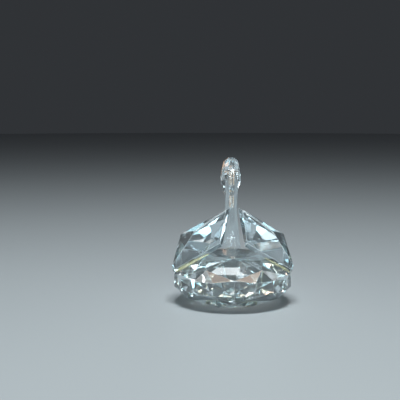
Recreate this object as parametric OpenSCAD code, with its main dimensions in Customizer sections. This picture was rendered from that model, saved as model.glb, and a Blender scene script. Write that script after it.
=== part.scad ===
// Swan figurine of clear cut crystal glass. A round faceted body lies on its small
// flat base; two faceted wings and a moulded neck with the head are bonded on it.
// Millimetres, +Z up, the swan looks along +Y. The origin is the centre of the base.

/* [Body] */
// Radius of the body at its widest, the girdle
body_r = 20; // [18:0.5:22]
// Height of the girdle's lower edge
girdle_low = 6; // [5:0.1:7.5]
// Height of the girdle's upper edge
girdle_high = 10.2; // [9.6:0.1:11.5]
// Rise of the girdle's upper edge at the six kite facets
girdle_rise = 1; // [0.4:0.1:1.5]
// Height of the table, the flat on top of the back
table_z = 16.8; // [16:0.1:18]
// Corner radius of the table as a share of the girdle's radius
table_share = 0.53; // [0.48:0.01:0.58]
// Radius of the crown's side corners as a share of the girdle's radius
crown_share = 0.9; // [0.85:0.01:0.93]
// Corner radius of the base as a share of the girdle's radius
base_share = 0.5; // [0.45:0.01:0.55]
// Radius of the underside's side corners as a share of the girdle's radius
under_share = 0.88; // [0.84:0.01:0.92]

/* [Wings] */
// Slope of the flat seats that carry the wings
seat_angle = 31; // [26:0.5:32]
// Height of the outer edge of each seat
seat_z = 10.7; // [10.4:0.1:11.2]
// Width of the ground strip on a wing's inner edge, at the tip
inner_strip = 2.4; // [1:0.1:2.6]
// Width of the ground strip on a wing's lower rear edge, at its inner end
lower_strip = 2.3; // [1:0.1:2.8]

/* [Neck] */
// Distance of the neck's foot in front of the body's centre
foot_y = 15.4; // [14.5:0.1:16]
// Number of flats around the neck
neck_sides = 12; // [8:2:16]
// Rings between two stations of the neck
neck_rings = 4; // [2:1:6]

/* [Bonds] */
// Thickness of the clear adhesive films
bond_t = 0.15; // [0.1:0.05:0.3]

/* [Hidden] */

crystal = [0.80, 0.88, 0.93, 0.6];
adhesive = [0.86, 0.84, 0.52, 0.8];

// ---- vectors and planes ---------------------------------------------------------
function unit(v) = v / norm(v);
function polar(az, r, z) = [r * cos(az), r * sin(az), z];

// A plane is [outward normal, distance from the origin]
function plane_at(n, p) = [unit(n), unit(n) * p];

// The plane through three points, with the point inside on its inner side
function plane3(a, b, c, inside) =
    let (n = unit(cross(b - a, c - a)), d = n * a)
    n * inside > d ? [-n, -d] : [n, d];

// A plane that takes the edge between planes p and q off; p and q meet at the point e.
// The cut leans towards q by lean, and is set in from the edge by depth.
function edge_cut(p, q, e, lean, depth) =
    let (n = unit(p[0] + lean * q[0])) [n, n * e - depth];

// Everything on the inner side of a plane
module half_space(plane) {
    reach = 200;                         // larger than any wing
    n = plane[0];
    rotate([0, acos(n[2]), atan2(n[1], n[0])])
        translate([-reach / 2, -reach / 2, plane[1] - reach])
            cube(reach);
}

// ---- body -------------------------------------------------------------------------
fold = 6;                     // kite facets around the crown
per = 3;                      // girdle facets for each kite
girdle_n = fold * per;
turn = 360 / fold;
step = 360 / girdle_n;
kite_low_z = girdle_high + girdle_rise;

// Height of a crown side corner on the plane of its kite, which keeps the kite flat
crown_z = kite_low_z + (table_z - kite_low_z)
    * (1 - crown_share * cos(turn / 2)) / (1 - table_share);

// Height of an underside corner on the plane of its five-sided facet
girdle_mid = cos(step / 2);
under_z = girdle_low * (1 - (girdle_mid - under_share * cos(turn / 2)) / (girdle_mid - base_share));

// The wing seat on the right side
seat_n = [sin(seat_angle), 0, cos(seat_angle)];
seat_p = [body_r * cos(step / 2), 0, seat_z];
seat = plane_at(seat_n, seat_p);

module cut_body() {
    k = [0:fold - 1];
    g = 2 * fold;
    low = g + girdle_n;
    under = low + girdle_n;
    base = under + fold;
    function f(i) = (i + fold) % fold;
    function r(i) = (i + girdle_n) % girdle_n;
    points = concat(
        [for (i = k) polar(turn * i - 90, body_r * table_share, table_z)],
        [for (i = k) polar(turn * (i + 0.5) - 90, body_r * crown_share, crown_z)],
        [for (i = [0:girdle_n - 1])
            polar(step * i - 90, body_r, i % per == 0 ? kite_low_z : girdle_high)],
        [for (i = [0:girdle_n - 1]) polar(step * i - 90, body_r, girdle_low)],
        [for (i = k) polar(turn * i - 90, body_r * under_share, under_z)],
        [for (i = k) polar(turn * (i + 0.5) - 90, body_r * base_share, 0)]);
    faces = concat(
        // table, star facets, kites, upper girdle facets
        [[for (i = [fold - 1:-1:0]) i]],
        [for (i = k) [i, f(i + 1), fold + i]],
        [for (i = k) [i, fold + i, g + per * i, fold + f(i - 1)]],
        [for (i = k) for (j = [0:per - 1])
            [fold + i, g + r(per * i + j + 1), g + r(per * i + j)]],
        // girdle
        [for (i = [0:girdle_n - 1]) [g + i, g + r(i + 1), low + r(i + 1), low + i]],
        // underside: main facets, lower girdle facets, star facets, base
        [for (i = k) [base + i, under + i, low + r(per * i + 1), low + r(per * i + 2),
            under + f(i + 1)]],
        [for (i = k) [under + i, low + r(per * i), low + r(per * i + 1)]],
        [for (i = k) [under + i, low + r(per * i - 1), low + r(per * i)]],
        [for (i = k) [under + i, base + i, base + f(i - 1)]],
        [[for (i = k) base + i]]);
    polyhedron(points, faces);
}

module body() {
    color(crystal)
        difference() {
            cut_body();
            for (side = [0, 1])
                mirror([side, 0, 0])
                    rotate([0, seat_angle, 0])
                        translate([-body_r, -body_r, seat[1]])
                            cube(2 * body_r);
        }
}

// ---- wings ----------------------------------------------------------------------------
// Corners of the right wing's outline
tip = [0.8, -16.5, 35.2];
heel = [3.7, -10.2, 20.6];
toe = [19.9, -5.2, 11.7];
toe_top = [20.7, -4.8, 13.6];
hip = [12.6, -11.7, 26.3];
shoulder = [18.1, 4.5, 23];
brow = [9.5, 12.5, 21.5];
breast = [8, 13.5, 18];
keel = [18.6, 7.2, 12.9];
spine = [6.5, 0, 28.2];

// Points on the inner face and on the chest facet, and a point inside the wing
inner_mid = [5, 10, 19];
chest_mid = [4, 11, 20];
wing_mid = [11, 0, 19];

wing_seat = [-seat[0], -seat[1] - bond_t];
rear = plane3(tip, heel, toe, wing_mid);
inner = plane3(tip, heel, inner_mid, wing_mid);
outer = plane3(tip, hip, shoulder, wing_mid);
haunch = plane3(hip, toe_top, shoulder, wing_mid);
side = plane3(toe_top, shoulder, keel, wing_mid);
flank = plane3(shoulder, keel, breast, wing_mid);
crest = plane3(tip, shoulder, spine, wing_mid);
front = plane3(shoulder, spine, brow, wing_mid);
chest = plane3(brow, breast, chest_mid, wing_mid);

// The tapered ground strips. Each runs through a point on the rear face near one end of
// its edge, another near the other end, and a point on the neighbouring face
inner_strip_heel = 1.2;                  // its width on the rear face at the heel
inner_strip_side = 1.3;                  // its width on the inner face at the heel
inner_cut = plane3(
    tip + inner_strip * unit(hip - tip),
    heel + inner_strip_heel * unit(toe - heel),
    heel + inner_strip_side * unit(inner_mid - heel),
    wing_mid);
lower_strip_toe = 0.5;                   // its width on the rear face at the toe
lower_strip_under = [0, 1.7, -0.4];      // from the heel to a point on the underside
lower_cut = plane3(
    heel + lower_strip * unit(tip - heel),
    toe + lower_strip_toe * unit(hip - toe),
    heel + lower_strip_under,
    wing_mid);

// The blunt tip: an upright cut on its inner corner and a small sloping top
tip_low = [0.9, -16, 33];
tip_rear = [2.1, -16.3, 35.2];
tip_front = [2.1, -12, 35.9];
tip_cut = plane3(tip_low, tip_rear, tip_front, wing_mid);
tip_top = plane_at([0.2, -0.5, 1], tip - [0, 0, 0.9]);

// The small facet that takes the toe's outer corner off
toe_cut = plane_at([1, -0.35, -0.5], toe_top - [0.5, 0, 0.3]);

wing_planes = [
    wing_seat, rear, inner, outer, haunch, side, flank, crest, front, chest,
    inner_cut, lower_cut, tip_cut, tip_top, toe_cut,
    edge_cut(rear, outer, tip, 0.8, 0.25),
    edge_cut(outer, crest, shoulder, 0.9, 0.45),
    edge_cut(side, haunch, shoulder, 1.1, 0.4),
    edge_cut(flank, side, shoulder, 0.9, 0.6),
    edge_cut(front, flank, shoulder, 0.8, 0.9),
    edge_cut(crest, front, shoulder, 1.2, 0.3),
    edge_cut(inner, crest, tip, 0.6, 0.5),
];

module right_wing_shape() {
    intersection_for (p = wing_planes)
        half_space(p);
}

module right_wing() {
    color(crystal) right_wing_shape();
}

module left_wing() {
    color(crystal) mirror([1, 0, 0]) right_wing_shape();
}

// ---- bonds ------------------------------------------------------------------------------
// Corners of a wing film, measured down the seat's slope and along Y, and its corner radius
film_r = 0.5;
film_sides = 24;
film = [[-3.1, 5.9], [-10.6, 4], [-10.6, -4.1], [-8.5, -4.7], [-1.3, -2.7], [-1.1, 2.3]];

module right_bond_shape() {
    translate(seat_p)
        rotate([0, seat_angle, 0])
            linear_extrude(bond_t)
                hull()
                    for (p = film)
                        translate(p) circle(film_r, $fn = film_sides);
}

module right_wing_bond() {
    color(adhesive) right_bond_shape();
}

module left_wing_bond() {
    color(adhesive) mirror([1, 0, 0]) right_bond_shape();
}

// ---- neck ------------------------------------------------------------------------------
// The front kite, which carries the neck
kite_slope = atan2(table_z - kite_low_z, body_r * (1 - table_share));
kite_n = [sin(kite_slope), cos(kite_slope)];
foot_z = table_z - (foot_y - body_r * table_share) * tan(kite_slope);
foot = [foot_y, foot_z] + bond_t * kite_n;
foot_rise = 3;                           // how far the foot stands square on the kite

// Stations of the neck and head from the foot to the beak's tip:
// [forward, up, half width, half thickness]
stations = [
    [foot[0], foot[1], 3.8, 4.4],
    [foot[0] + foot_rise * kite_n[0], foot[1] + foot_rise * kite_n[1], 3.6, 4.1],
    [18.1, 20.5, 3.2, 3.6],
    [17.8, 25.5, 2.7, 3.1],
    [15.6, 31, 2.4, 2.8],
    [13.1, 36.3, 2.35, 2.6],
    [12, 41, 2.45, 2.6],
    [13.1, 44.7, 2.6, 2.6],
    [16.1, 46, 2.8, 2.6],
    [19.3, 43.9, 3.3, 3],
    [21.4, 40.2, 3.75, 3.1],
    [22.8, 36.7, 3, 2.2],
    [23.8, 33.8, 1.8, 1.35],
    [24.6, 31.4, 1.2, 0.9],
    [25.1, 29.9, 0.7, 0.5]];

// A smooth curve through the stations
function station(i) = stations[max(0, min(len(stations) - 1, i))];
function curve(a, b, c, d, t) =
    0.5 * (2 * b + (c - a) * t + (2 * a - 5 * b + 4 * c - d) * t * t
        + (3 * b - a - 3 * c + d) * t * t * t);
line = [
    for (i = [0:len(stations) - 2])
        for (j = [0:neck_rings - 1])
            curve(station(i - 1), station(i), station(i + 1), station(i + 2), j / neck_rings),
    station(len(stations) - 1)];

// Direction of the line at ring i, square to the seat at the foot
function heading(i) =
    let (a = line[max(0, i - 1)], b = line[min(len(line) - 1, i + 1)])
    i == 0 ? kite_n : unit([b[0] - a[0], b[1] - a[1]]);

module neck() {
    n = len(line);
    points = [
        for (i = [0:n - 1])
            for (j = [0:neck_sides - 1])
                let (
                    t = heading(i),
                    a = 360 / neck_sides * (j + 0.5),
                    u = line[i][2] * cos(a),
                    v = line[i][3] * sin(a))
                [u, line[i][0] + v * t[1], line[i][1] - v * t[0]]];
    faces = concat(
        [[for (j = [0:neck_sides - 1]) j]],
        [[for (j = [neck_sides - 1:-1:0]) (n - 1) * neck_sides + j]],
        [for (i = [0:n - 2])
            for (j = [0:neck_sides - 1])
                let (a = i * neck_sides, b = a + neck_sides, j2 = (j + 1) % neck_sides)
                [a + j, b + j, b + j2, a + j2]]);
    color(crystal) polyhedron(points, faces);
}

// The film under the neck stands out a little all round the foot
squeeze = 1.08;

module neck_bond() {
    ring = [
        for (j = [0:neck_sides - 1])
            let (a = 360 / neck_sides * (j + 0.5))
            squeeze * [stations[0][2] * cos(a), stations[0][3] * sin(a)]];
    color(adhesive)
        translate([0, foot_y, foot_z])
            rotate([-kite_slope, 0, 0])
                linear_extrude(bond_t)
                    polygon(ring);
}

body();
left_wing();
right_wing();
neck();
left_wing_bond();
right_wing_bond();
neck_bond();
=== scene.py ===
"""Cut-glass swan figurine: bonded crystal stones, a moulded neck and soft studio light."""
import math

import bmesh
import bpy
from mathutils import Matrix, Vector


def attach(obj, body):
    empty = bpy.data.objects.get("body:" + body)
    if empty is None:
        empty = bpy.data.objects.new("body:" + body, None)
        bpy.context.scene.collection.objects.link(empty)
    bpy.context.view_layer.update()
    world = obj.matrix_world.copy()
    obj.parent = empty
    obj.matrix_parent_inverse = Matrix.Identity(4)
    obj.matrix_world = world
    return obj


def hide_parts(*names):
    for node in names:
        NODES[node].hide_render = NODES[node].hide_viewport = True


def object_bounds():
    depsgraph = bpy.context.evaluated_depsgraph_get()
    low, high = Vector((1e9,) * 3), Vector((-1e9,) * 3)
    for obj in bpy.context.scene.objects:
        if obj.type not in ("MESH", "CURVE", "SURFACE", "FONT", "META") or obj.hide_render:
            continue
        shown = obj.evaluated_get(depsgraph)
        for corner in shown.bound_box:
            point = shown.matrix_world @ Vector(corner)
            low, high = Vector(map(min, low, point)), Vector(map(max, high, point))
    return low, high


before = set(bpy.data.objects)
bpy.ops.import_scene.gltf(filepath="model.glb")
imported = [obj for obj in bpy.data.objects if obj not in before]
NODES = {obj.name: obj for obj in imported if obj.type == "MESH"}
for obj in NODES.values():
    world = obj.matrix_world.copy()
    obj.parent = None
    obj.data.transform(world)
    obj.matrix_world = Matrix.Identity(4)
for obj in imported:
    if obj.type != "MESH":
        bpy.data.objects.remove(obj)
CAD_BOX = [list(corner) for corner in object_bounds()]
SCENE = bpy.context.scene
MM = 0.001
TOUCH = 1e-7              # points nearer than this are the same, m
CLEAR = 0.01 * MM         # gap left between neighbouring pieces
FULL_BUMP = 1.0           # strength at which a bump is as deep as its distance


# ---- helpers -------------------------------------------------------------------------------
def mesh_object(bm, name, finishes):
    """A new object made from a bmesh, with its list of materials."""
    mesh = bpy.data.meshes.new(name)
    bm.to_mesh(mesh)
    bm.free()
    for finish in finishes:
        mesh.materials.append(finish)
    made = bpy.data.objects.new(name, mesh)
    SCENE.collection.objects.link(made)
    return made


def material(name):
    """A new node material, its node tree and its Principled shader."""
    made = bpy.data.materials.new(name)
    made.use_nodes = True
    return made, made.node_tree, made.node_tree.nodes["Principled BSDF"]


def noise(tree, scale, detail=3.0, roughness=0.5, stretch=(1, 1, 1)):
    """Noise in metres of the object's own space."""
    place = tree.nodes.new("ShaderNodeTexCoord")
    mapping = tree.nodes.new("ShaderNodeMapping")
    mapping.inputs["Scale"].default_value = stretch
    made = tree.nodes.new("ShaderNodeTexNoise")
    made.inputs["Scale"].default_value = scale
    made.inputs["Detail"].default_value = detail
    made.inputs["Roughness"].default_value = roughness
    tree.links.new(place.outputs["Object"], mapping.inputs["Vector"])
    tree.links.new(mapping.outputs["Vector"], made.inputs["Vector"])
    return made.outputs["Fac"]


def ramp(tree, fac, *stops):
    """A colour ramp of (position, colour) stops."""
    made = tree.nodes.new("ShaderNodeValToRGB")
    points = made.color_ramp.elements
    while len(points) < len(stops):
        points.new(0.5)
    for point, (position, colour) in zip(points, stops):
        point.position = position
        point.color = (*colour, 1)
    tree.links.new(fac, made.inputs["Fac"])
    return made.outputs["Color"]


def span(tree, fac, low, high, out_low, out_high):
    """fac from low..high mapped to out_low..out_high, clamped."""
    made = tree.nodes.new("ShaderNodeMapRange")
    for socket, value in zip(("From Min", "From Max", "To Min", "To Max"),
                             (low, high, out_low, out_high)):
        made.inputs[socket].default_value = value
    tree.links.new(fac, made.inputs["Value"])
    return made.outputs["Result"]


def bump(tree, shader, height, distance):
    """Bump of that depth on the shader."""
    made = tree.nodes.new("ShaderNodeBump")
    made.inputs["Strength"].default_value = FULL_BUMP
    made.inputs["Distance"].default_value = distance
    tree.links.new(height, made.inputs["Height"])
    tree.links.new(made.outputs["Normal"], shader.inputs["Normal"])


def absorb(tree, colour, density):
    """Even absorption inside the glass."""
    volume = tree.nodes.new("ShaderNodeVolumeAbsorption")
    volume.inputs["Color"].default_value = (*colour, 1)
    volume.inputs["Density"].default_value = density
    tree.links.new(volume.outputs["Volume"], tree.nodes["Material Output"].inputs["Volume"])


# ---- materials -----------------------------------------------------------------------------
def crystal(name, wave):
    """Clear lead crystal. wave is the depth of the surface's waviness, in metres."""
    made, tree, shader = material(name)
    shader.inputs["Transmission Weight"].default_value = 0.95
    shader.inputs["IOR"].default_value = 1.65
    tint = ramp(tree, noise(tree, 60), (0.3, (0.76, 0.87, 0.92)), (0.7, (0.94, 0.97, 0.98)))
    tree.links.new(tint, shader.inputs["Base Color"])
    rub = noise(tree, 900, 6, 0.65, (1, 1, 3))
    tree.links.new(span(tree, rub, 0.5, 0.85, 0.0, 0.05), shader.inputs["Roughness"])
    bump(tree, shader, noise(tree, 240, 2), wave)
    absorb(tree, (0.86, 0.93, 0.97), 8)
    return made


def ground(name):
    """The ground edges between facets: fine frosting that catches the light."""
    made, tree, shader = material(name)
    shader.inputs["Transmission Weight"].default_value = 0.3
    shader.inputs["IOR"].default_value = 1.56
    frost = noise(tree, 1600, 4, 0.6)
    tint = ramp(tree, frost, (0.3, (0.78, 0.88, 0.92)), (0.7, (0.95, 0.98, 1)))
    tree.links.new(tint, shader.inputs["Base Color"])
    tree.links.new(span(tree, frost, 0.3, 0.7, 0.12, 0.3), shader.inputs["Roughness"])
    return made


def bonded(name):
    """Crystal where adhesive wets it: light goes straight through, a little yellow."""
    made, tree, shader = material(name)
    shader.inputs["Transmission Weight"].default_value = 1
    shader.inputs["IOR"].default_value = 1.0
    patches = noise(tree, 420, 5, 0.6)
    tint = ramp(tree, patches, (0.35, (0.95, 0.94, 0.84)), (0.65, (0.99, 0.985, 0.95)))
    tree.links.new(tint, shader.inputs["Base Color"])
    tree.links.new(span(tree, patches, 0.45, 0.75, 0.0, 0.12), shader.inputs["Roughness"])
    return made


def adhesive(name):
    """Clear adhesive gone slightly yellow."""
    made, tree, shader = material(name)
    shader.inputs["Transmission Weight"].default_value = 0.8
    shader.inputs["IOR"].default_value = 1.49
    cloud = noise(tree, 700, 4, 0.6)
    tint = ramp(tree, cloud, (0.3, (0.88, 0.87, 0.5)), (0.7, (0.96, 0.95, 0.72)))
    tree.links.new(tint, shader.inputs["Base Color"])
    tree.links.new(span(tree, cloud, 0.3, 0.7, 0.08, 0.3), shader.inputs["Roughness"])
    bump(tree, shader, noise(tree, 1500, 3), 0.03 * MM)
    return made


CUT = crystal("cut_crystal", 0.004 * MM)
MOULDED = crystal("moulded_crystal", 0.03 * MM)
GROUND = ground("ground_edges")
BONDED = bonded("bonded_crystal")
FILM = bonded("adhesive_film")
ADHESIVE = adhesive("adhesive")


# Every crystal piece has three materials. These are the places of the second and the third
BOND_FACE = 1             # where adhesive wets it
GROUND_FACE = 2           # ground edges and the frosted eyes


# ---- stones --------------------------------------------------------------------------------
BODY_EDGE = 0.012 * MM    # ground edge between two facets of the body
WING_EDGE = 0.15 * MM     # ground edge between two facets of a wing
SLIVER = 0.15 * MM        # corners nearer than this become one
SHARP = 4                 # facets meeting at a larger angle than this have a ground edge, degrees
SAME_PLANE = 0.03 * MM    # a film this near a facet's plane lies on it
OPPOSED = -0.9999         # cosine between the normals of a film's face and the facet it lies on


def whole_facets(node, flat):
    """A CAD node's mesh with faces joined where they meet at less than flat degrees."""
    bm = bmesh.new()
    bm.from_mesh(NODES[node].data)
    bmesh.ops.remove_doubles(bm, verts=bm.verts, dist=TOUCH)
    bmesh.ops.dissolve_limit(bm, angle_limit=math.radians(flat), verts=bm.verts, edges=bm.edges)
    bm.normal_update()
    return bm


def film_faces(film):
    """The two large faces of a film as (normal, outline), the outline in order round the face."""
    bm = whole_facets(film, 1)
    large = sorted(bm.faces, key=lambda f: f.calc_area())[-2:]
    found = [(f.normal.copy(), [v.co.copy() for v in f.verts]) for f in large]
    bm.free()
    return found


def stone(node, films, edge):
    """The cut stone of a CAD node: flat facets, ground edges, and its bonded areas marked."""
    bm = whole_facets(node, 0.5)
    bmesh.ops.remove_doubles(bm, verts=bm.verts, dist=SLIVER)
    bm.normal_update()
    sharp = [e for e in bm.edges if e.calc_face_angle(0) > math.radians(SHARP)]
    bmesh.ops.bevel(bm, geom=sharp, offset=edge, offset_type="OFFSET", segments=2, profile=0.5,
                    affect="EDGES", clamp_overlap=True, material=GROUND_FACE)
    bm.normal_update()
    for film in films:
        for normal, outline in film_faces(film):
            facet = max((f for f in bm.faces if f.normal.dot(normal) < OPPOSED
                         and abs((f.verts[0].co - outline[0]).dot(normal)) < SAME_PLANE),
                        key=lambda f: f.calc_area(), default=None)
            if facet:
                mark_bond(bm, facet, normal, outline)
    sort_faces(bm)
    made = mesh_object(bm, node + "_stone", (CUT, BONDED, GROUND))
    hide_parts(node)
    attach(made, "root")


def sort_faces(bm):
    """Puts the faces in the order of their corners, since cutting orders them anew each run."""
    bm.verts.index_update()
    ordered = sorted(bm.faces, key=lambda f: sorted(v.index for v in f.verts))
    for place, face in enumerate(ordered):
        face.index = place
    bm.faces.sort()


def mark_bond(bm, facet, normal, outline):
    """Cuts the film's outline into a facet and gives the area inside it the bonded material."""
    centre = sum(outline, Vector()) / len(outline)
    parts = [facet]
    for a, b in zip(outline, outline[1:] + outline[:1]):
        out = (b - a).cross(normal).normalized()
        if out.dot(a - centre) < 0:
            out.negate()
        # A dict keeps its order and a set does not, so the cut is fed the same each run
        edges = dict.fromkeys(e for f in parts for e in f.edges)
        corners = dict.fromkeys(v for f in parts for v in f.verts)
        geom = [*parts, *edges, *corners]
        cut = bmesh.ops.bisect_plane(bm, geom=geom, dist=TOUCH, plane_co=a, plane_no=out)
        faces = [g for g in cut["geom"] if isinstance(g, bmesh.types.BMFace)]
        parts = [f for f in faces if (f.calc_center_median() - a).dot(out) < 0]
    for f in parts:
        f.material_index = BOND_FACE


stone("body", ["left_wing_bond", "right_wing_bond", "neck_bond"], BODY_EDGE)
for side in ("left", "right"):
    stone(side + "_wing", [side + "_wing_bond"], WING_EDGE)


# ---- neck and head -------------------------------------------------------------------------
FLATS = 8                 # moulded flats around the neck
FLAT_STEPS = 12           # mesh points along one flat
RINGS = 16                # mesh rings between two stations
SECTION = FLATS * FLAT_STEPS

# Stations, in mm: forward, up, half width, half thickness, flatness of the moulded flats.
# The foot's two stand square on its film: rise from it, half width, half thickness, flatness
FOOT = [
    (0, 3.8, 4.4, 0.95),
    (3, 3.6, 4.1, 0.95)]
STATIONS = [
    (18.1, 20.5, 3.2, 3.6, 0.9),
    (17.8, 25.5, 2.7, 3.1, 0.9),
    (15.6, 31, 2.4, 2.8, 0.9),
    (13.1, 36.3, 2.35, 2.6, 0.85),
    (12, 41, 2.45, 2.6, 0.75),
    (13.1, 44.7, 2.6, 2.6, 0.85),
    (16.1, 46, 2.8, 2.6, 0.85),
    (19.3, 43.9, 3.3, 3, 0.45),
    (21.4, 40.2, 3.75, 3.1, 0.35),
    (22.8, 36.7, 3, 2.2, 0.3),
    (23.8, 33.8, 1.8, 1.35, 0.2),
    (24.6, 31.4, 1.2, 0.9, 0.1),
    (25.1, 29.9, 0.7, 0.5, 0)]
STATION_GAP = 4.2 * MM    # distance between two stations of the head
EYE_AT = 9.75             # station of the eyes, counted from the foot
EYE_TURN = -0.42          # angle of the eyes from the head's side, toward its crown if negative
EYE_RADIUS = 0.75 * MM    # radius of the ground area of an eye
SEAM_TO = 11.75           # station where the mould seams end
KNOB_AT = 11.2            # station of the knob where the beak starts
BEAK_FROM = 11.3          # station where the beak starts
MOUTH_TURN = 0.3          # angle of the beak line from the beak's side, toward its underside
TIP_ROUND = 0.5           # how much of the last stretch is rounded to the tip
HEADING_STEP = 0.02       # the heading is taken between the points this far before and after, in t

# Height and width of each moulded detail
SEAM = (0.05 * MM, 0.3 * MM)
SOCKET = (-0.4 * MM, 1.05 * MM)
EYE = (0.5 * MM, 0.5 * MM)
KNOB = (0.22 * MM, 0.9 * MM)
MOUTH = (-0.12 * MM, 0.16 * MM)


def neck_stations():
    """All stations, with lengths in metres, and the upward normal of the film under the foot."""
    normal, outline = max(film_faces("neck_bond"), key=lambda face: face[0].y + face[0].z)
    centre = sum(outline, Vector()) / len(outline)
    stations = []
    for rise, *size in FOOT:
        place = centre / MM + rise * normal
        stations.append((place.y, place.z, *size))
    stations += STATIONS
    return [Vector((*(Vector(sizes) * MM), flatness)) for *sizes, flatness in stations], normal


def along(rows, t):
    """The smooth curve through the rows at parameter t."""
    last = len(rows) - 1
    i = min(int(t), last - 1)
    f = t - i
    a, b, c, d = (rows[max(0, min(last, k))] for k in (i - 1, i, i + 1, i + 2))
    return 0.5 * (2 * b + (c - a) * f + (2 * a - 5 * b + 4 * c - d) * f * f
                  + (3 * b - a - 3 * c + d) * f * f * f)


def hump(distance, detail):
    """A detail's height at that distance from its middle, falling smoothly to nothing."""
    height, width = detail
    return height * math.exp(-(distance / width) ** 2)


def flat_radius(angle, flatness):
    """Radius of a soft-cornered polygon of FLATS sides, its corners on the unit circle."""
    half = math.pi / FLATS
    off = (angle + half) % (2 * half) - half
    return 1 - flatness + flatness * math.cos(half) / math.cos(off)


def eye_distance(t, angle, radius):
    """How far that point of the surface is from the nearer eye's centre."""
    side = math.asin(math.sin(angle))
    return math.hypot((t - EYE_AT) * STATION_GAP, (side - EYE_TURN) * radius)


def relief(t, angle, radius):
    """Height of the moulded details at station t and that angle of the section."""
    side = math.asin(math.sin(angle))
    seam = abs(math.remainder(angle - math.pi / 2, math.pi)) * radius
    eye = eye_distance(t, angle, radius)
    knob = math.hypot((t - KNOB_AT) * STATION_GAP, (side + math.pi / 2) * radius)
    mouth = (side - MOUTH_TURN) * radius
    return (hump(seam, SEAM) * min(1, max(0, SEAM_TO - t))
            + hump(eye, SOCKET) + hump(eye, EYE) + hump(knob, KNOB)
            + hump(mouth, MOUTH) * min(1, max(0, 2 * (t - BEAK_FROM))))


def neck():
    """The moulded neck and head: one loft with soft flats, mould seams, eyes and a beak."""
    rows, foot_normal = neck_stations()
    last = len(rows) - 1
    bm = bmesh.new()
    rings = []
    eye_points = set()
    for n in range(last * RINGS + 1):
        t = n / RINGS
        y, z, half_width, half_thickness, flatness = along(rows, t)
        before = along(rows, max(0, t - HEADING_STEP))
        after = along(rows, min(last, t + HEADING_STEP))
        heading = Vector((0, after[0] - before[0], after[1] - before[1])).normalized()
        if n == 0:
            heading = foot_normal
        tip = max(0, (t - last + TIP_ROUND) / TIP_ROUND)
        close = math.sqrt(max(0, 1 - tip ** 2))
        ring = []
        for j in range(SECTION):
            angle = 2 * math.pi * j / SECTION
            size = max(half_width * abs(math.cos(angle)), half_thickness * abs(math.sin(angle)))
            grow = (flat_radius(angle, flatness) * close
                    + relief(t, angle, size) / max(size, MM) * close)
            u = half_width * grow * math.cos(angle)
            v = half_thickness * grow * math.sin(angle)
            ring.append(bm.verts.new((u, y + v * heading.z, z - v * heading.y)))
            if eye_distance(t, angle, size) < EYE_RADIUS:
                eye_points.add(ring[-1])
            if close == 0:
                break
        rings.append(ring)
    for v in rings[0]:
        v.co += foot_normal * CLEAR
    bm.faces.new(rings[0]).material_index = BOND_FACE
    for a, b in zip(rings, rings[1:]):
        for j in range(SECTION):
            k = (j + 1) % SECTION
            corners = [a[j], b[0], a[k]] if len(b) == 1 else [a[j], b[j], b[k], a[k]]
            face = bm.faces.new(corners)
            face.smooth = True
            if eye_points.issuperset(corners):
                face.material_index = GROUND_FACE
    bmesh.ops.recalc_face_normals(bm, faces=bm.faces)
    made = mesh_object(bm, "neck_and_head", (MOULDED, BONDED, GROUND))
    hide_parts("neck")
    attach(made, "root")


neck()


# ---- adhesive ------------------------------------------------------------------------------
def sweep(name, sections, closed):
    """A closed mesh through equal sections, joined end to start where closed."""
    bm = bmesh.new()
    rings = [[bm.verts.new(point) for point in section] for section in sections]
    if not closed:
        bm.faces.new(rings[0])
        bm.faces.new(rings[-1])
    pairs = list(zip(rings, rings[1:])) + ([(rings[-1], rings[0])] if closed else [])
    for a, b in pairs:
        for j in range(len(a)):
            k = (j + 1) % len(a)
            bm.faces.new((a[j], b[j], b[k], a[k])).smooth = True
    bmesh.ops.recalc_face_normals(bm, faces=bm.faces)
    made = mesh_object(bm, name, (ADHESIVE,))
    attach(made, "root")


# Where the adhesive under each wing starts along the edge, its width there and its gain in width
# by the outer end, in mm
BEADS = {"left": (5, 0.5, 1.2), "right": (8, 0.4, 0.6)}
BEAD_STEPS = 40           # lengths that a wing's bead is made of
BEAD_END = 0.4 * MM       # how far it stops short of the edge's outer end
BEAD_ROOT = 0.3 * MM      # how far it reaches in under the wing
HOLLOW_STEPS = 6          # widths of its hollow face
HOLLOW = 0.28             # depth of the hollow, as a share of the bead's width
LONG_EDGE = 5 * MM        # the edge with the bead is longer than this


def lower_rear_edge(side, up):
    """The lower rear edge of a wing: its ends, the inner one first, then the direction away from
    the wing along its seat and the direction up its rear face."""
    bm = whole_facets(side + "_wing", 0.5)
    facet = max((f for f in bm.faces if f.normal.dot(up) < -0.999), key=lambda f: f.calc_area())
    long_edges = [e for e in facet.edges if e.calc_length() > LONG_EDGE]
    edge = min(long_edges, key=lambda e: e.verts[0].co.y + e.verts[1].co.y)
    a, b = sorted((v.co.copy() for v in edge.verts), key=lambda co: abs(co.x))
    slope = next(f for f in edge.link_faces if f != facet).normal.copy()
    middle = facet.calc_center_median()
    bm.free()
    run = (b - a).normalized()
    out = run.cross(up).normalized()
    if out.dot(a - middle) < 0:
        out.negate()
    rise = run.cross(slope).normalized()
    if rise.dot(up) < 0:
        rise.negate()
    return a, b, out, rise


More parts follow.
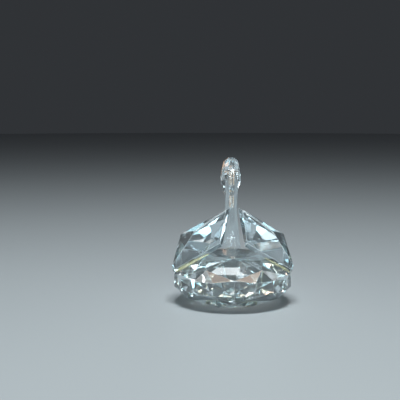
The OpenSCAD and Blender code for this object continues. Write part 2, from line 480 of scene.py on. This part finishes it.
def wing_bead(side):
    """The adhesive squeezed out under the wing's lower rear edge, a wedge with a hollow face."""
    seat_normal, outline = min(film_faces(side + "_wing_bond"), key=lambda face: face[0].z)
    up = -seat_normal
    a, b, out, rise = lower_rear_edge(side, up)
    run = (b - a).normalized()
    thickness = abs((a - outline[0]).dot(up))
    inward = out * 0.62 + up * 0.1
    sections = []
    start, width, gain = (MM * value for value in BEADS[side])
    length = (b - a).length - start - BEAD_END
    for n in range(BEAD_STEPS + 1):
        f = n / BEAD_STEPS
        wide = (width + gain * f ** 0.8) * min(1, 8 * f + 0.3, 3.2 * (1 - f) + 0.2)
        wide *= 1 + 0.12 * math.sin(9 * f) * math.sin(23 * f + 1)
        top = a + run * (start + length * f)
        foot = top - up * (thickness - CLEAR)
        low = foot + out * wide
        high = top + rise * wide + out * CLEAR
        section = [foot - out * BEAD_ROOT]
        for k in range(HOLLOW_STEPS + 1):
            across = k / HOLLOW_STEPS
            deep = inward * wide * HOLLOW * math.sin(math.pi * across)
            section.append(low.lerp(high, across) - deep)
        section += [top + out * 2 * CLEAR, top - out * BEAD_ROOT - up * CLEAR]
        sections.append(section)
    sweep(side + "_wing_bead", sections, False)


def neck_bead():
    """The adhesive fillet round the neck's foot."""
    rows, normal = neck_stations()
    y, z, half_width, half_thickness = rows[0][:4]
    sections = []
    for j in range(SECTION):
        angle = 2 * math.pi * j / SECTION
        grow = flat_radius(angle, FOOT[0][-1])
        u = half_width * grow * math.cos(angle)
        v = half_thickness * grow * math.sin(angle)
        base = Vector((u, y + v * normal.z, z - v * normal.y))
        out = (base - Vector((0, y, z))).normalized()
        wide = (0.32 + 0.06 * math.sin(3 * angle) + 0.04 * math.sin(7 * angle + 1)) * MM
        sections.append([base + out * 2 * CLEAR + normal * 2 * CLEAR,
                         base + out * wide + normal * 2 * CLEAR,
                         base + out * wide * 0.42 + normal * wide * 0.45,
                         base + out * 2 * CLEAR + normal * wide * 1.3])
    sweep("neck_bead", sections, True)


for film in ("left_wing_bond", "right_wing_bond", "neck_bond"):
    NODES[film].data.materials.clear()
    NODES[film].data.materials.append(FILM)
    slim = NODES[film].modifiers.new("clear of the glass", "DISPLACE")
    slim.mid_level = 0
    slim.strength = -CLEAR
wing_bead("left")
wing_bead("right")
neck_bead()


# ---- stage ---------------------------------------------------------------------------------
FLOOR_RADIUS = 1.6        # m
FLOOR_GAP = 0.02 * MM     # how far the floor lies under the lowest point of the CAD model


def stage_floor():
    """A plain pale floor."""
    made, tree, shader = material("pale_floor")
    shader.inputs["Roughness"].default_value = 0.5
    shader.inputs["Specular IOR Level"].default_value = 0.15
    tint = ramp(tree, noise(tree, 3), (0.3, (0.46, 0.465, 0.475)), (0.7, (0.48, 0.485, 0.49)))
    tree.links.new(tint, shader.inputs["Base Color"])
    bm = bmesh.new()
    bmesh.ops.create_circle(bm, cap_ends=True, segments=96, radius=FLOOR_RADIUS)
    floor = mesh_object(bm, "floor", (made,))
    floor.location.z = CAD_BOX[0][2] - FLOOR_GAP


DOME = 0.5                # distance of the lights from the point they face, m
SOFTBOX = (0.2, 0.16)     # width and height of a light, m
LIT_POINT = Vector((0, 0, 0.02))

COOL = (0.85, 0.96, 1)
ICE = (0.55, 0.9, 1)
WHITE = (1, 0.99, 0.97)
PEACH = (1, 0.7, 0.52)
AMBER = (1, 0.58, 0.31)

# Name, azimuth and elevation in degrees (0 is in front of the swan, 90 on its right), power in
# watts, tint, and what the light falls on: the floor alone, the whole swan (glass), the neck and
# head alone (neck), or the whole swan without them (stones)
STUDIO = [
    ("overhead", 180, 72, 3, COOL, "floor"),
    ("key_left", -156, 36, 1.4, COOL, "glass"),
    ("key_right", 156, 36, 1.4, COOL, "glass"),
    ("fill_left", -156, 18, 0.5, WHITE, "glass"),
    ("fill_right", 132, 36, 0.8, COOL, "glass"),
    ("low_left", -156, 4, 1.1, COOL, "glass"),
    ("side_right", 132, 36, 0.7, ICE, "glass"),
    ("wing_left_high", -36, 36, 0.2, ICE, "glass"),
    ("wing_left", -36, 18, 0.4, ICE, "stones"),
    ("wing_right", 36, 18, 0.4, ICE, "stones"),
    ("wing_left_edge", -60, 18, 0.4, COOL, "stones"),
    ("wing_right_high", 36, 36, 0.15, COOL, "glass"),
    ("crown_left", -36, 58, 0.1, WHITE, "glass"),
    ("crown_right", 12, 58, 0.1, WHITE, "glass"),
    ("girdle_left", -108, 36, 0.3, WHITE, "glass"),
    ("girdle_right", 84, 36, 0.25, WHITE, "glass"),
    ("glow_front", -60, 36, 0.55, PEACH, "glass"),
    ("glow_left", -156, 58, 0.35, PEACH, "glass"),
    ("glow_right", 132, 58, 0.45, PEACH, "glass"),
    ("glow_head", -12, 4, 0.08, AMBER, "neck")]


def softbox(name, azimuth, elevation, power, tint, reach):
    """A rectangular soft light on the studio's dome, aimed at the object."""
    turn, rise = math.radians(azimuth), math.radians(elevation)
    back = Vector((math.sin(turn) * math.cos(rise), math.cos(turn) * math.cos(rise), math.sin(rise)))
    data = bpy.data.lights.new(name, "AREA")
    data.shape = "RECTANGLE"
    data.size, data.size_y = SOFTBOX
    data.energy = power
    data.color = tint
    lamp = bpy.data.objects.new(name, data)
    SCENE.collection.objects.link(lamp)
    lamp.location = LIT_POINT + back * DOME
    lamp.rotation_euler = back.to_track_quat("Z", "Y").to_euler()
    lamp.visible_camera = False
    lamp.light_linking.receiver_collection = REACH[reach]


stage_floor()
REACH = {name: bpy.data.collections.new("lit_" + name)
         for name in ("floor", "glass", "neck", "stones")}
for piece in [o for o in SCENE.objects if o.type == "MESH"]:
    if piece.name == "floor":
        REACH["floor"].objects.link(piece)
        continue
    REACH["glass"].objects.link(piece)
    REACH["neck" if piece.name == "neck_and_head" else "stones"].objects.link(piece)
for light in STUDIO:
    softbox(*light)

world = bpy.data.worlds.new("studio")
SCENE.world = world
world.use_nodes = True
world.node_tree.nodes["Background"].inputs["Color"].default_value = (0.03, 0.033, 0.037, 1)
SCENE.view_settings.view_transform = "Standard"


# ---- camera --------------------------------------------------------------------------------
def photo_camera():
    """The camera behind the swan and a little to its left, looking slightly down and aimed a
    little aside and above, so that the swan stands low and to the right as in the photograph."""
    azimuth = math.radians(-2)
    elevation = math.radians(8.5)
    distance = 0.3
    target = Vector((0, 0, 0.024))
    aside = 0.0111
    above = 0.0109
    data = bpy.data.cameras.new("camera")
    data.lens = 79.4
    data.sensor_width = 36
    data.clip_start = 0.01
    data.clip_end = 20
    camera = bpy.data.objects.new("camera", data)
    SCENE.collection.objects.link(camera)
    back = Vector((math.sin(azimuth) * math.cos(elevation),
                   -math.cos(azimuth) * math.cos(elevation), math.sin(elevation)))
    camera.location = target + back * distance
    right = (-back).cross(Vector((0, 0, 1))).normalized()
    up = right.cross(-back)
    aim = target - right * aside + up * above
    camera.rotation_euler = (aim - camera.location).to_track_quat("-Z", "Y").to_euler()
    SCENE.camera = camera


photo_camera()
